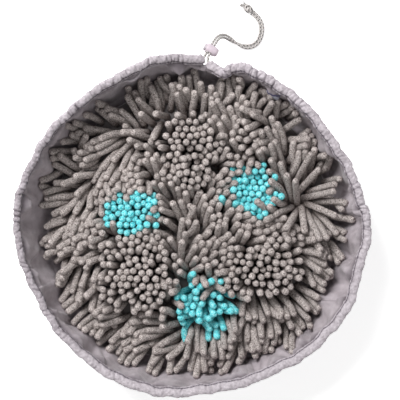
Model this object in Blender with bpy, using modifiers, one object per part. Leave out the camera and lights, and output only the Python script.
"""Snuffle bowl for a dog: a round mat of chenille noodles inside a drawn-up cloth wall.

Units are metres and +Z is up. The origin is the middle of the underside.
+Y points to the mouth of the casing, where the drawstring comes out to its spring lock.
"""

import math
import random

import bmesh
import bpy
import numpy as np
from mathutils import Matrix, Vector

# Gaps and cuts
GAP = 0.0003
OVERRUN = 0.002

# Base
BASE_RADIUS = 0.183
COVER_THICKNESS = 0.0012
PADDING_THICKNESS = 0.006
BACKING_THICKNESS = 0.0015
SEAM_FLANGE = 0.008
MAT_MARGIN = 0.002
DISC_SEGMENTS = 72

# Cloth wall
WALL_THICKNESS = 0.0012
WALL_SLANT = 0.080
WALL_BULGE = 0.003
FOLD_DEPTH = 0.0032
FOLD_COUNT = 24
FOLD_WANDER = ((0.9, 3), (0.6, 5))
WALL_COLUMNS = 96
SEAM_DEGREES = (4, 86, 203, 292)
WALL_HEIGHT_SHARES = (0, 0.2, 0.45, 0.7, 1)
FOLD_SHARES = (0, 0.25, 0.7, 1, 0)
PANEL_NAMES = ("wall_northeast", "wall_northwest", "wall_southwest", "wall_southeast")

# Rim: the radius of its outer edge every 15 degrees, counter-clockwise from +X
RIM_WIDTH = 0.430
RIM_SHARES = (
    0.996, 0.955, 0.930, 0.925, 0.936, 0.932, 0.957, 0.961,
    0.935, 0.947, 0.965, 0.989, 1.003, 0.977, 0.965, 0.965,
    0.965, 0.970, 0.946, 0.937, 0.949, 0.975, 0.997, 0.984,
)
CASING_RADIUS = 0.0055
CASING_WALL = 0.0008
CASING_SIDES = 8
RIM_STEP_DEGREES = 6
FINE_STEP_DEGREES = 2.5
FINE_REACH_DEGREES = 20

# Mouth of the casing, and how the rim sinks there
MOUTH_DEGREES = 85.2
MOUTH_DIP = 0.024
MOUTH_DIP_SPREAD_DEGREES = 15
MOUTH_SLACK = 0.002
DROOP_DEGREES = 78.5
DROOP_IN = 0.008
DROOP_DOWN = 0.006
DROOP_SPREAD_DEGREES = 5
MOUTH_HALF_WIDTH = 0.010
CASING_LEAD_SHARE = 0.34
LEAD_STEPS = 9
LEAD_PULL_SHARE = 1.2

# Noodles
STRAND_WIDTH = 0.0084
STRAND_LENGTH = 0.038
STRAND_TIP_SHARE = 0.86
STRAND_CLEARANCE = 0.0008
RING_SPACING = 0.015
RING_PITCH = 0.0158
FOOT_JITTER_DEGREES = 0.3
MEASURE_POINTS = 9
LENGTH_JITTER = 0.002
LEAN_LIMIT_DEGREES = 46
LEAN_STEP_DEGREES = 2
LEAN_START = 0.070
SWAY_DEGREES = 4
RANDOM_SEED = 7

# Round crowns: place as shares of the mat's radius
ROUND_RADIUS = 0.033
ROUND_SEGMENTS = 24
ROUND_PITCH = 0.0126
ROUND_RING_COUNT_STEP = 6
ROUND_SPLAY_SHARE = 0.12
GREY_ROUNDS = {
    "grey_round_north": (-0.051, 0.529),
    "grey_round_southwest": (-0.406, -0.323),
    "grey_round_southeast": (0.517, -0.267),
}
AQUA_ROUNDS = {
    "aqua_round_west": (-0.427, 0.088),
    "aqua_round_east": (0.432, 0.216),
    "aqua_round_south": (0.070, -0.551),
}

# Blank tag on the inner wall
LABEL_DEGREES = 54
LABEL_COLUMNS = 2
LABEL_FOOT_SHARE = 0.45
LABEL_THICKNESS = 0.0005
LABEL_STANDOFF = 0.0006

# Cord
CORD_DIAMETER = 0.0032
STRAND_GAP = 0.0004
CORD_CLEARANCE = 0.0003
CORD_SIDES = 8
DRAWSTRING_SIDES = 6

# Cord lock: its own Z runs along the plunger to the button, its own X along the cords
LOCK_STANDOFF = 0.0183
LOCK_PLACE_DEGREES = 72
LOCK_DROP = 0.010
LOCK_TURN_DEGREES = 61.4
LOCK_DESCENT_DEGREES = 35
LOCK_RADIUS = 0.0063
LOCK_WALL = 0.0016
LOCK_SPRING_ROOM = 0.0043
LOCK_SPRING_SEAT = 0.0020
LOCK_FLOOR = 0.0013
LOCK_COLLAR = 0.0015
PLUNGER_CLEARANCE = 0.0003
PLUNGER_BAR = 0.0012
PLUNGER_BUTTON = 0.0023
PLUNGER_TRAVEL = 0.0025
BUTTON_EDGE = 0.0008
LOCK_SLIDE = 0.006
LOCK_SLIDE_BACK = 0.001
TURN_STEPS = 28
SPRING_WIRE = 0.00045
SPRING_TURN_COUNT = 3
SPRING_TURN_POINTS = 10
SPRING_SIDES = 6
SLOT_ROUND = 0.0008
MERGE_DISTANCE = 0.00003
LOCK_OUTLINE_SHARES = (
    (0.86, 1.0), (0.93, 0.9), (0.985, 0.5), (1.0, 0.0), (0.995, -0.3),
    (0.95, -0.55), (0.87, -0.76), (0.74, -0.9), (0.5, -0.98), (0, -1.0),
)

# Free tails: offset from the end of the straight run, share of the way up to it, and twist of the pair
TAIL_ROUTE = (
    (0.0000, 0.0000, 1.00, 0),
    (0.0021, 0.0037, 0.90, 0),
    (0.0050, 0.0078, 0.70, 0),
    (0.0090, 0.0108, 0.47, 0),
    (0.0142, 0.0113, 0.26, 8),
    (0.0200, 0.0088, 0.10, 35),
    (0.0262, 0.0052, 0.02, 80),
    (0.0330, 0.0018, 0.00, 125),
    (0.0402, -0.0002, 0.00, 165),
    (0.0474, 0.0006, 0.00, 180),
    (0.0538, 0.0048, 0.00, 180),
    (0.0580, 0.0118, 0.00, 180),
    (0.0598, 0.0205, 0.00, 180),
    (0.0588, 0.0293, 0.00, 180),
    (0.0545, 0.0370, 0.00, 180),
    (0.0480, 0.0430, 0.00, 180),
)
TAIL_POINTS = 28
ROUTE_STEPS = 12
KNOT_LENGTH = 0.013
KNOT_WIDTH = 0.0105
KNOT_HEIGHT = 0.0088
KNOT_RIDGE_SHARE = 0.10
KNOT_RIDGE_COUNT = 3
KNOT_TWIST_COUNT = 4
KNOT_SEGMENTS = 20
KNOT_RINGS = 12

# Colours, as linear RGB
NOODLE_GREY = (0.27, 0.235, 0.225)
NOODLE_AQUA = (0.07, 0.56, 0.62)
CLOTH_GREY = (0.37, 0.33, 0.345)
CASING_GREY = (0.55, 0.51, 0.54)
CORD_GREY = (0.55, 0.53, 0.53)
LOCK_LILAC = (0.75, 0.64, 0.70)
BUTTON_WHITE = (0.80, 0.80, 0.80)
STEEL_GREY = (0.60, 0.60, 0.60)
PAD_WHITE = (0.80, 0.80, 0.78)
LABEL_WHITE = (0.80, 0.80, 0.80)
CLOTH_ROUGHNESS = 0.9
PLASTIC_ROUGHNESS = 0.35
STEEL_ROUGHNESS = 0.3

# Heights and radii that follow
FLANGE_Z = COVER_THICKNESS + GAP + WALL_THICKNESS / 2
PADDING_Z = COVER_THICKNESS + GAP
PADDING_RADIUS = BASE_RADIUS - SEAM_FLANGE - GAP
BACKING_Z = PADDING_Z + PADDING_THICKNESS + GAP
STRAND_FOOT_Z = BACKING_Z + BACKING_THICKNESS / 2
MAT_RADIUS = PADDING_RADIUS - MAT_MARGIN
STRAND_REACH = STRAND_WIDTH / math.sqrt(2)
CORD_RADIUS = CORD_DIAMETER / 2
PAIR_HALF = CORD_RADIUS + STRAND_GAP / 2
SLOT_HALF_LENGTH = PAIR_HALF + CORD_RADIUS + CORD_CLEARANCE
SLOT_HALF_WIDTH = CORD_RADIUS + CORD_CLEARANCE
CAVITY_RADIUS = LOCK_RADIUS - LOCK_WALL
PLUNGER_RADIUS = CAVITY_RADIUS - PLUNGER_CLEARANCE
PLUNGER_LOW = -SLOT_HALF_LENGTH - PLUNGER_BAR
SLOT_HIGH = SLOT_HALF_LENGTH + PLUNGER_TRAVEL
PLUNGER_HIGH = SLOT_HIGH + PLUNGER_BUTTON
CAVITY_LOW = PLUNGER_LOW - LOCK_SPRING_ROOM
SEAT_HIGH = CAVITY_LOW + LOCK_SPRING_SEAT - PLUNGER_CLEARANCE
SEAT_RADIUS = CAVITY_RADIUS - LOCK_WALL / 2
LOCK_LOW = CAVITY_LOW - LOCK_FLOOR
LOCK_HIGH = SLOT_HALF_LENGTH + LOCK_COLLAR
TAIL_START = LOCK_RADIUS + CORD_CLEARANCE


def clear_scene():
    """Start from an empty file."""
    for item in list(bpy.data.objects):
        bpy.data.objects.remove(item)


def new_collection(name):
    """A collection linked to the scene."""
    group = bpy.data.collections.new(name)
    bpy.context.scene.collection.children.link(group)
    return group


def new_material(name, colour, roughness=CLOTH_ROUGHNESS, metallic=0):
    """A plain Principled material."""
    made = bpy.data.materials.new(name)
    made.use_nodes = True
    shader = made.node_tree.nodes["Principled BSDF"]
    shader.inputs["Base Color"].default_value = (*colour, 1)
    shader.inputs["Roughness"].default_value = roughness
    shader.inputs["Metallic"].default_value = metallic
    return made


def new_object(name, bm, material, group):
    """Turn a bmesh into a smooth-shaded object with one material."""
    mesh = bpy.data.meshes.new(name)
    bm.to_mesh(mesh)
    bm.free()
    made = bpy.data.objects.new(name, mesh)
    made.data.materials.append(material)
    mesh.shade_smooth()
    group.objects.link(made)
    return made


def boolean(target, cutter, operation):
    """Add an exact Boolean with a hidden cutter."""
    cutter.hide_render = True
    cutter.display_type = "WIRE"
    step = target.modifiers.new(cutter.name, "BOOLEAN")
    step.operation = operation
    step.solver = "EXACT"
    step.object = cutter


def disc_bmesh(radius, low, thickness, segments, centre=(0, 0)):
    """A flat round slab whose underside is at the height low."""
    bm = bmesh.new()
    place = Matrix.Translation((*centre, low + thickness / 2))
    bmesh.ops.create_cone(
        bm, cap_ends=True, segments=segments, radius1=radius, radius2=radius, depth=thickness, matrix=place
    )
    return bm


def bump(degrees, centre, spread):
    """A smooth hump around the rim, 1 at its centre."""
    away = (degrees - centre + 180) % 360 - 180
    return math.exp(-((away / spread) ** 2))


def between(a, b, c, d, t):
    """A smooth curve from b at t = 0 to c at t = 1, led by the values before and after them."""
    return b + t / 2 * (c - a + t * (2 * a - 5 * b + 4 * c - d + t * (3 * (b - c) + d - a)))


def rim_share(degrees):
    """Radius share at any angle, by a smooth curve through the shares."""
    count = len(RIM_SHARES)
    place = degrees % 360 * count / 360
    index = int(place)
    return between(*(RIM_SHARES[(index + k) % count] for k in (-1, 0, 1, 2)), place - index)


def rim_radius(degrees):
    """Radius of the casing's middle line."""
    droop = DROOP_IN * bump(degrees, DROOP_DEGREES, DROOP_SPREAD_DEGREES)
    return rim_share(degrees) * RIM_WIDTH / 2 - CASING_RADIUS - droop


def rim_height(degrees):
    """Height of the casing's middle line: the cloth leans out on a fixed slant length."""
    lean = rim_share(degrees) * RIM_WIDTH / 2 - CASING_RADIUS - BASE_RADIUS
    rise = math.sqrt(WALL_SLANT**2 - lean**2)
    dip = MOUTH_DIP * bump(degrees, MOUTH_DEGREES, MOUTH_DIP_SPREAD_DEGREES)
    droop = DROOP_DOWN * bump(degrees, DROOP_DEGREES, DROOP_SPREAD_DEGREES)
    return rise - dip - droop


def polar(radius, degrees, height):
    """A point from its radius, angle and height."""
    turn = math.radians(degrees)
    return Vector((radius * math.cos(turn), radius * math.sin(turn), height))


def rim_point(degrees):
    """A point on the casing's middle line."""
    return polar(rim_radius(degrees), degrees, rim_height(degrees))


def wall_top(degrees):
    """Height of the wall's upper edge, just under the casing."""
    slack = MOUTH_SLACK * bump(degrees, MOUTH_DEGREES, MOUTH_DIP_SPREAD_DEGREES)
    return rim_height(degrees) - CASING_RADIUS - GAP - slack


def fold_wave(degrees):
    """Uneven upright folds: a wave whose pitch wanders round the bowl."""
    turn = math.radians(degrees)
    wander = sum(amount * math.sin(waves * turn) for amount, waves in FOLD_WANDER)
    return math.cos(FOLD_COUNT * turn + wander)


def wall_point(degrees, share, inset=0.0):
    """A point of the wall's middle surface, share of the way up from its foot."""
    fold = FOLD_DEPTH * float(np.interp(share, WALL_HEIGHT_SHARES, FOLD_SHARES)) * fold_wave(degrees)
    bulge = WALL_BULGE * math.sin(math.pi * share)
    radius = BASE_RADIUS + (rim_radius(degrees) - BASE_RADIUS) * share + bulge + fold - inset
    return polar(radius, degrees, FLANGE_Z + (wall_top(degrees) - FLANGE_Z) * share)


def wall_limit(degrees, height):
    """Largest radius that stays inside the wall at a height."""
    share = min(max((height - FLANGE_Z) / (wall_top(degrees) - FLANGE_Z), 0), 1)
    bulge = WALL_BULGE * math.sin(math.pi * share)
    deepest = FOLD_DEPTH + WALL_THICKNESS
    return BASE_RADIUS + (rim_radius(degrees) - BASE_RADIUS) * share + bulge - deepest


def base_parts(group):
    """The cover that the bowl stands on, and the padding over it."""
    cloth = new_material("cover_cloth", CLOTH_GREY)
    pad = new_material("padding", PAD_WHITE)
    rim = BASE_RADIUS + WALL_THICKNESS / 2
    new_object("base_cover", disc_bmesh(rim, 0, COVER_THICKNESS, DISC_SEGMENTS), cloth, group)
    padding = disc_bmesh(PADDING_RADIUS, PADDING_Z, PADDING_THICKNESS, DISC_SEGMENTS)
    new_object("base_padding", padding, pad, group)


def panel_columns(index):
    """Angles of one panel's columns, from seam to seam."""
    half_gap = math.degrees(GAP / 2 / BASE_RADIUS)
    start = SEAM_DEGREES[index] + half_gap
    end = SEAM_DEGREES[(index + 1) % len(SEAM_DEGREES)] - half_gap
    span = (end - start) % 360
    count = round(WALL_COLUMNS * span / 360)
    return [start + span * column / count for column in range(count + 1)]


def cloth_grid(bm, columns, rows, place):
    """A grid of faces whose corners go where place(column, row) says."""
    bmesh.ops.create_grid(bm, x_segments=columns, y_segments=rows, size=1)
    for vert in bm.verts:
        vert.co = place(round((vert.co.x + 1) / 2 * columns), round((vert.co.y + 1) / 2 * rows))


def thicken(cloth, thickness):
    """Give a sheet its thickness, half on each side."""
    shell = cloth.modifiers.new("thickness", "SOLIDIFY")
    shell.thickness = thickness
    shell.offset = 0
    shell.use_even_offset = True


def wall_panels(group):
    """Four folded cloth panels, each with its hem turned in under the padding."""
    for index, name in enumerate(PANEL_NAMES):
        angles = panel_columns(index)

        def place(column, row):
            if row:
                return wall_point(angles[column], WALL_HEIGHT_SHARES[row - 1])
            return polar(BASE_RADIUS - SEAM_FLANGE, angles[column], FLANGE_Z)

        bm = bmesh.new()
        cloth_grid(bm, len(angles) - 1, len(WALL_HEIGHT_SHARES), place)
        thicken(new_object(name, bm, new_material(name, CLOTH_GREY), group), WALL_THICKNESS)


def care_label(group):
    """A blank tag that lies on the inner wall, a few of the wall's own columns wide."""
    angles = panel_columns(0)
    inset = WALL_THICKNESS / 2 + LABEL_STANDOFF + LABEL_THICKNESS / 2
    first = min(range(len(angles)), key=lambda column: abs(angles[column] - LABEL_DEGREES))
    foot = WALL_HEIGHT_SHARES.index(LABEL_FOOT_SHARE)

    def place(column, row):
        return wall_point(angles[first + column], WALL_HEIGHT_SHARES[foot + row], inset)

    bm = bmesh.new()
    cloth_grid(bm, LABEL_COLUMNS, 1, place)
    thicken(new_object("care_label", bm, new_material("label", LABEL_WHITE), group), LABEL_THICKNESS)


def strand(bm, foot, tip):
    """One noodle: a tapered four-sided post, its foot level inside the backing."""
    axis = (tip - foot).normalized()
    level = Vector((axis.x, axis.y, 0))
    along = level.normalized() if level.length else Vector((1, 0, 0))
    side = Vector((-along.y, along.x, 0))
    half = STRAND_WIDTH / 2
    made = bmesh.ops.create_cube(bm, size=2)
    for vert in made["verts"]:
        x, y, top = vert.co.x, vert.co.y, vert.co.z > 0
        if top:
            vert.co = tip + (side.cross(axis) * x + side * y) * half * STRAND_TIP_SHARE
        else:
            vert.co = foot + (along * x / axis.z + side * y) * half


def noodles_on(backing, strands, cutters):
    """Fuse a set of noodles to their backing."""
    bm = bmesh.new()
    for foot, tip in strands:
        strand(bm, foot, tip)
    posts = new_object(f"{backing.name}_noodles", bm, backing.data.materials[0], cutters)
    boolean(backing, posts, "UNION")


def round_centre(shares):
    """The place of a round crown on the mat."""
    return Vector((shares[0] * MAT_RADIUS, shares[1] * MAT_RADIUS, STRAND_FOOT_Z))


def round_strands(centre, chance):
    """Upright noodles in rings about a crown's centre, tips splayed a little."""
    made = []
    ring = 0
    while ring * ROUND_PITCH + STRAND_REACH < ROUND_RADIUS:
        count = max(ROUND_RING_COUNT_STEP * ring, 1)
        for k in range(count):
            turn = 360 * (k + ring % 2 / 2) / count
            arm = polar(ring * ROUND_PITCH, turn, 0)
            length = STRAND_LENGTH + chance.uniform(-1, 1) * LENGTH_JITTER
            foot = centre + arm
            splay = arm * ROUND_SPLAY_SHARE
            made.append((foot, foot + splay + Vector((0, 0, length))))
        ring += 1
    return made


def noodle_points(foot, tip):
    """Points along one noodle's middle line."""
    steps = np.linspace(0, 1, MEASURE_POINTS)[:, None]
    return np.array(foot) * (1 - steps) + np.array(tip) * steps


def gap_to(points, others):
    """Least gap from one noodle to earlier ones, corner to corner, measured on their points."""
    if not others:
        return math.inf
    away = points[None, :, None, :] - np.array(others)[:, None, :, :]
    return math.sqrt(float((away**2).sum(axis=-1).min())) - 2 * STRAND_REACH


def leaning_tip(foot, radius, heading, length, placed):
    """Tip of a mat noodle: it leans out towards the wall, as far as the wall and its neighbours allow."""
    edge = MAT_RADIUS - STRAND_REACH
    reach = min(max((radius - LEAN_START) / (edge - LEAN_START), 0), 1)
    lean = LEAN_LIMIT_DEGREES * reach * reach * (3 - 2 * reach)
    while lean > 0:
        tilt = math.radians(lean)
        tip = foot + polar(length * math.sin(tilt), heading, length * math.cos(tilt))
        inside = tip.xy.length + STRAND_REACH < wall_limit(heading, tip.z - STRAND_REACH)
        if inside and gap_to(noodle_points(foot, tip), placed) > STRAND_CLEARANCE:
            return tip
        lean -= LEAN_STEP_DEGREES
    return foot + Vector((0, 0, length))


def mat_strands(centres, chance, placed):
    """Noodles of the grey mat, in rings from the wall inwards that keep clear of the round crowns."""
    made = []
    keep_off = ROUND_RADIUS + GAP + STRAND_REACH
    outermost = MAT_RADIUS - STRAND_REACH / math.cos(math.radians(LEAN_LIMIT_DEGREES))
    rings = int(outermost / RING_SPACING)
    for ring in range(rings, -1, -1):
        radius = outermost * ring / rings
        count = max(int(2 * math.pi * radius / RING_PITCH), 1)
        for k in range(count):
            degrees = 360 * (k + ring % 2 / 2) / count
            length = STRAND_LENGTH + chance.uniform(-1, 1) * LENGTH_JITTER
            heading = degrees + chance.uniform(-1, 1) * SWAY_DEGREES
            foot = polar(radius, degrees + chance.uniform(-1, 1) * FOOT_JITTER_DEGREES, STRAND_FOOT_Z)
            if min((foot - centre).length for centre in centres) < keep_off:
                continue
            tip = leaning_tip(foot, radius, heading, length, placed)
            points = noodle_points(foot, tip)
            if gap_to(points, placed) > STRAND_CLEARANCE / 2:
                made.append((foot, tip))
                placed.append(points)
    return made


def noodle_mat(group, cutters):
    """The grey mat with six round cut-outs, and the six crowns that fill them."""
    chance = random.Random(RANDOM_SEED)
    centres = []
    placed = []
    for colour, rounds in ((NOODLE_GREY, GREY_ROUNDS), (NOODLE_AQUA, AQUA_ROUNDS)):
        for name, shares in rounds.items():
            centre = round_centre(shares)
            disc = disc_bmesh(ROUND_RADIUS, BACKING_Z, BACKING_THICKNESS, ROUND_SEGMENTS, centre.xy)
            backing = new_object(name, disc, new_material(name, colour), group)
            strands = round_strands(centre, chance)
            noodles_on(backing, strands, cutters)
            centres.append(centre)
            placed += [noodle_points(foot, tip) for foot, tip in strands]
    mat_disc = disc_bmesh(MAT_RADIUS, BACKING_Z, BACKING_THICKNESS, DISC_SEGMENTS)
    mat = new_object("noodle_mat", mat_disc, new_material("noodle_mat", NOODLE_GREY), group)
    for index, centre in enumerate(centres):
        depth = BACKING_THICKNESS + 2 * OVERRUN
        hole_disc = disc_bmesh(ROUND_RADIUS + GAP, BACKING_Z - OVERRUN, depth, ROUND_SEGMENTS, centre.xy)
        hole = new_object(f"round_hole_{index}", hole_disc, mat.data.materials[0], cutters)
        boolean(mat, hole, "DIFFERENCE")
    noodles_on(mat, mat_strands(centres, chance, placed), cutters)
    least = min(gap_to(points, placed[:index]) for index, points in enumerate(placed) if index)
    print("noodles:", len(placed), "least gap in mm:", round(least * 1000, 2))


def lock_frame():
    """Place of the lock: outside the mouth, its X along the cords and its Z towards the button."""
    turn = math.radians(LOCK_TURN_DEGREES)
    descent = math.radians(LOCK_DESCENT_DEGREES)
    along = Vector((math.cos(turn), math.sin(turn), 0))
    cords = along * math.cos(descent) - Vector((0, 0, math.sin(descent)))
    button = Vector((-along.y, along.x, 0))
    third = button.cross(cords)
    centre = rim_point(MOUTH_DEGREES) + polar(LOCK_STANDOFF, LOCK_PLACE_DEGREES, -LOCK_DROP)
    facing = Matrix((cords, third, button)).transposed().to_4x4()
    return Matrix.Translation(centre) @ facing


def lead_points(side):
    """Where one strand leaves the rim line and turns out to the lock, from the rim outwards."""
    frame = lock_frame()
    away = math.degrees(MOUTH_HALF_WIDTH / rim_radius(MOUTH_DEGREES)) * side
    start = rim_point(MOUTH_DEGREES + away)
    heading = (polar(-side, MOUTH_DEGREES + 90, 0)).normalized()
    end = frame @ Vector((-LOCK_RADIUS - LOCK_SLIDE_BACK - CORD_CLEARANCE, 0, side * PAIR_HALF))
    cords = frame.col[0].xyz
    reach = (end - start).length * LEAD_PULL_SHARE
    points = []
    for step in range(LEAD_STEPS + 1):
        t = step / LEAD_STEPS
        ahead = start * (2 * t**3 - 3 * t**2 + 1) + end * (3 * t**2 - 2 * t**3)
        points.append(ahead + heading * reach * (t**3 - 2 * t**2 + t) + cords * reach * (t**3 - t**2))
    return points


def rim_angles():
    """Angles along the rim from the left of the mouth round to its right, finer near the mouth."""
    away = math.degrees(MOUTH_HALF_WIDTH / rim_radius(MOUTH_DEGREES))
    angles = []
    here = away
    while here < 360 - away - FINE_STEP_DEGREES / 2:
        angles.append(MOUTH_DEGREES + here)
        near = min(here, 360 - here) < FINE_REACH_DEGREES
        here += FINE_STEP_DEGREES if near else RIM_STEP_DEGREES
    angles.append(MOUTH_DEGREES + 360 - away)
    return angles


def tube_curve(name, points, radius, sides, material, group):
    """A solid cord through the points, with closed ends."""
    curve = bpy.data.curves.new(name, "CURVE")
    curve.dimensions = "3D"
    curve.bevel_depth = radius
    curve.bevel_resolution = sides // 2 - 2
    curve.use_fill_caps = True
    spline = curve.splines.new("POLY")
    spline.points.add(len(points) - 1)
    for corner, place in zip(spline.points, points):
        corner.co = (*place, 1)
    curve.materials.append(material)
    made = bpy.data.objects.new(name, curve)
    group.objects.link(made)
    return made


def rim_casing(group):
    """The hollow cloth tube on top of the wall, open at both ends of its mouth."""
    lead = int(LEAD_STEPS * CASING_LEAD_SHARE)
    ring = [rim_point(degrees) for degrees in rim_angles()]
    points = lead_points(1)[lead:0:-1] + ring + lead_points(-1)[1 : lead + 1]
    cloth = new_material("rim_casing", CASING_GREY)
    guide = tube_curve("casing_guide", points, CASING_RADIUS, CASING_SIDES, cloth, group)
    guide.data.use_fill_caps = False
    bpy.context.view_layer.update()
    evaluated = guide.evaluated_get(bpy.context.evaluated_depsgraph_get())
    mesh = bpy.data.meshes.new_from_object(evaluated)
    bpy.data.objects.remove(guide)
    mesh.name = "rim_casing"
    mesh.shade_smooth()
    casing = bpy.data.objects.new("rim_casing", mesh)
    group.objects.link(casing)
    shell = casing.modifiers.new("thickness", "SOLIDIFY")
    shell.thickness = CASING_WALL
    shell.offset = -1


def drawstring(group):
    """One cord: through the lock, round the rim along the casing's inner side, and back through the lock."""
    frame = lock_frame()
    cords = frame.col[0].xyz
    room = (CASING_RADIUS - CASING_WALL) * math.cos(math.pi / CASING_SIDES) - CORD_RADIUS - GAP
    ring = []
    angles = rim_angles()
    for degrees in angles:
        away = min(degrees - angles[0], angles[-1] - degrees)
        ease = min(away / FINE_REACH_DEGREES, 1)
        inward = polar(-room * ease * ease * (3 - 2 * ease), degrees, 0)
        ring.append(rim_point(degrees) + inward)
    left = lead_points(1)
    right = lead_points(-1)
    straight = (TAIL_START - GAP + LOCK_RADIUS + LOCK_SLIDE_BACK + CORD_CLEARANCE) * cords
    points = [left[-1] + straight] + left[:0:-1] + ring + right[1:] + [right[-1] + straight]
    cloth = new_material("cord", CORD_GREY)
    tube_curve("drawstring", points, CORD_RADIUS, DRAWSTRING_SIDES, cloth, group)


def turned(name, outline, material, group):
    """A turned solid from (radius, height) points, spun about its own Z."""
    mesh = bpy.data.meshes.new(name)
    edges = [(k, k + 1) for k in range(len(outline) - 1)]
    mesh.from_pydata([(radius, 0, height) for radius, height in outline], edges, [])
    made = bpy.data.objects.new(name, mesh)
    made.data.materials.append(material)
    group.objects.link(made)
    spin = made.modifiers.new("turn", "SCREW")
    spin.steps = TURN_STEPS
    spin.render_steps = TURN_STEPS
    spin.use_merge_vertices = True
    spin.merge_threshold = MERGE_DISTANCE
    spin.use_smooth_shade = True
    return made


def slot_cutter(name, low, high, frame, cutters):
    """A round-cornered slot for the two cords, along the lock's own X."""
    bm = bmesh.new()
    bmesh.ops.create_cube(bm, size=1)
    across = 2 * (LOCK_RADIUS + OVERRUN)
    size = Matrix.Diagonal((across, 2 * SLOT_HALF_WIDTH, high - low, 1))
    bm.transform(Matrix.Translation((0, 0, (low + high) / 2)) @ size)
    long_edges = [edge for edge in bm.edges if abs((edge.verts[0].co - edge.verts[1].co).x) > OVERRUN]
    bmesh.ops.bevel(bm, geom=long_edges, offset=SLOT_ROUND, segments=2, profile=0.5, affect="EDGES")
    cutter = new_object(name, bm, new_material(name, STEEL_GREY), cutters)
    cutter.matrix_world = frame
    return cutter


def cord_lock(group, cutters):
    """The bean-shaped shell, its sprung plunger and the spring under it."""
    frame = lock_frame()
    outline = [
        (0, CAVITY_LOW),
        (SEAT_RADIUS, CAVITY_LOW),
        (SEAT_RADIUS, SEAT_HIGH),
        (CAVITY_RADIUS, SEAT_HIGH),
        (CAVITY_RADIUS, LOCK_HIGH),
    ]
    for radius_share, height_share in LOCK_OUTLINE_SHARES:
        height = height_share * (LOCK_HIGH if height_share > 0 else -LOCK_LOW)
        outline.append((radius_share * LOCK_RADIUS, height))
    lilac = new_material("lock_shell", LOCK_LILAC, PLASTIC_ROUGHNESS)
    shell = turned("lock_shell", outline, lilac, group)
    shell.matrix_world = frame
    hole = slot_cutter("shell_slot", -SLOT_HALF_LENGTH, SLOT_HALF_LENGTH, frame, cutters)
    boolean(shell, hole, "DIFFERENCE")

    edge = PLUNGER_RADIUS - BUTTON_EDGE
    rod = [(0, PLUNGER_HIGH), (edge, PLUNGER_HIGH), (PLUNGER_RADIUS, PLUNGER_HIGH - BUTTON_EDGE)]
    rod += [(PLUNGER_RADIUS, PLUNGER_LOW), (0, PLUNGER_LOW)]
    white = new_material("lock_plunger", BUTTON_WHITE, PLASTIC_ROUGHNESS)
    plunger = turned("lock_plunger", rod, white, group)
    plunger.matrix_world = frame
    slot = slot_cutter("plunger_slot", -SLOT_HALF_LENGTH, SLOT_HIGH, frame, cutters)
    boolean(plunger, slot, "DIFFERENCE")

    steel = new_material("lock_spring", STEEL_GREY, STEEL_ROUGHNESS, 1)
    coil_radius = SEAT_RADIUS - GAP - SPRING_WIRE / 2
    low = CAVITY_LOW + GAP + SPRING_WIRE / 2
    high = PLUNGER_LOW - GAP - SPRING_WIRE / 2
    steps = SPRING_TURN_COUNT * SPRING_TURN_POINTS
    coil = []
    for step in range(steps + 1):
        place = polar(coil_radius, 360 * step / SPRING_TURN_POINTS, low + (high - low) * step / steps)
        coil.append(frame @ place)
    tube_curve("lock_spring", coil, SPRING_WIRE / 2, SPRING_SIDES, steel, group)
    pitch = (high - low) / SPRING_TURN_COUNT
    print("spring gap between turns in mm:", round((pitch - SPRING_WIRE) * 1000, 2))


def smooth_route(places, count):
    """Evenly spaced points on a smooth curve through the places."""
    table = np.array(places, float)
    fine = []
    last = len(table) - 1
    for step in range(last * ROUTE_STEPS + 1):
        index = min(step // ROUTE_STEPS, last - 1)
        corners = (table[min(max(index + k, 0), last)] for k in (-1, 0, 1, 2))
        fine.append(between(*corners, step / ROUTE_STEPS - index))
    fine = np.array(fine)
    travel = np.concatenate([[0], np.cumsum(np.linalg.norm(np.diff(fine[:, :3], axis=0), axis=1))])
    even = np.linspace(0, travel[-1], count)
    return np.stack([np.interp(even, travel, column) for column in fine.T], axis=1)


def tail_route():
    """Middle line of the free pair, from the lock's exit to the knot, with its twist."""
    frame = lock_frame()
    first = frame @ Vector((TAIL_START, 0, 0))
    straight = frame.col[0].xyz * (LOCK_SLIDE + CORD_CLEARANCE)
    rest = CORD_RADIUS + GAP
    end = first + straight
    table = [(*first, 0), (*(first + straight / 2), 0)]
    for x, y, height_share, twist in TAIL_ROUTE:
        lift = PAIR_HALF * abs(math.sin(math.radians(twist))) * (1 - height_share)
        table.append((end.x + x, end.y + y, rest + height_share * (end.z - rest) + lift, twist))
    return smooth_route(table, TAIL_POINTS)


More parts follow.
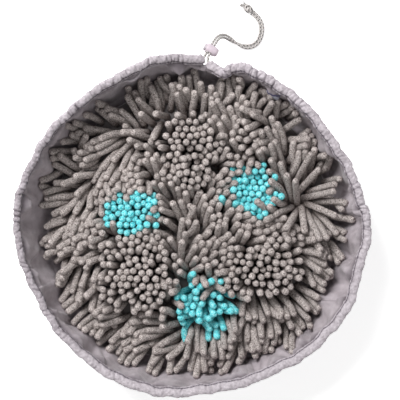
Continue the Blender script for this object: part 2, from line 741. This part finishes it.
def tail_cords(group):
    """Two strands side by side that twist over each other once on their way to the knot."""
    route = tail_route()
    for name, side in (("tail_cord_a", 1), ("tail_cord_b", -1)):
        points = []
        for index, (x, y, z, twist) in enumerate(route):
            after = Vector(route[min(index + 1, len(route) - 1)][:3])
            before = Vector(route[max(index - 1, 0)][:3])
            ahead = (after - before).normalized()
            level = Vector((-ahead.y, ahead.x, 0)).normalized()
            turn = math.radians(twist)
            across = level * math.cos(turn) + ahead.cross(level) * math.sin(turn)
            points.append(Vector((x, y, z)) + across * PAIR_HALF * side)
        length = sum((b - a).length for a, b in zip(points, points[1:]))
        lowest = min(point.z for point in points) - CORD_RADIUS
        print(name, "length in mm:", round(length * 1000, 1), "lowest in mm:", round(lowest * 1000, 2))
        tube_curve(name, points, CORD_RADIUS, CORD_SIDES, new_material(name, CORD_GREY), group)


def knot(group):
    """The knot that joins the tails: a lumpy ball lying on the table."""
    route = tail_route()
    last = Vector(route[-1][:3])
    ahead = (last - Vector(route[-2][:3])).normalized()
    centre = last + ahead * (KNOT_LENGTH / 2 + GAP)
    centre.z = KNOT_HEIGHT / 2
    bm = bmesh.new()
    bmesh.ops.create_uvsphere(bm, u_segments=KNOT_SEGMENTS, v_segments=KNOT_RINGS, radius=1)
    for vert in bm.verts:
        ridge = math.cos(KNOT_RIDGE_COUNT * math.atan2(vert.co.y, vert.co.x) + KNOT_TWIST_COUNT * vert.co.z)
        flat = 1 - vert.co.z**2
        vert.co *= 1 - KNOT_RIDGE_SHARE * (1 + ridge) / 2 * flat
    size = Matrix.Diagonal((KNOT_LENGTH / 2, KNOT_WIDTH / 2, KNOT_HEIGHT / 2, 1))
    turn = Matrix.Rotation(math.atan2(ahead.y, ahead.x), 4, "Z")
    bm.transform(Matrix.Translation(centre) @ turn @ size)
    new_object("knot", bm, new_material("knot", CORD_GREY), group)


def main():
    """Build the whole bowl."""
    clear_scene()
    group = new_collection("snuffle_bowl")
    cutters = new_collection("cutters")
    base_parts(group)
    noodle_mat(group, cutters)
    wall_panels(group)
    care_label(group)
    rim_casing(group)
    drawstring(group)
    cord_lock(group, cutters)
    tail_cords(group)
    knot(group)


main()
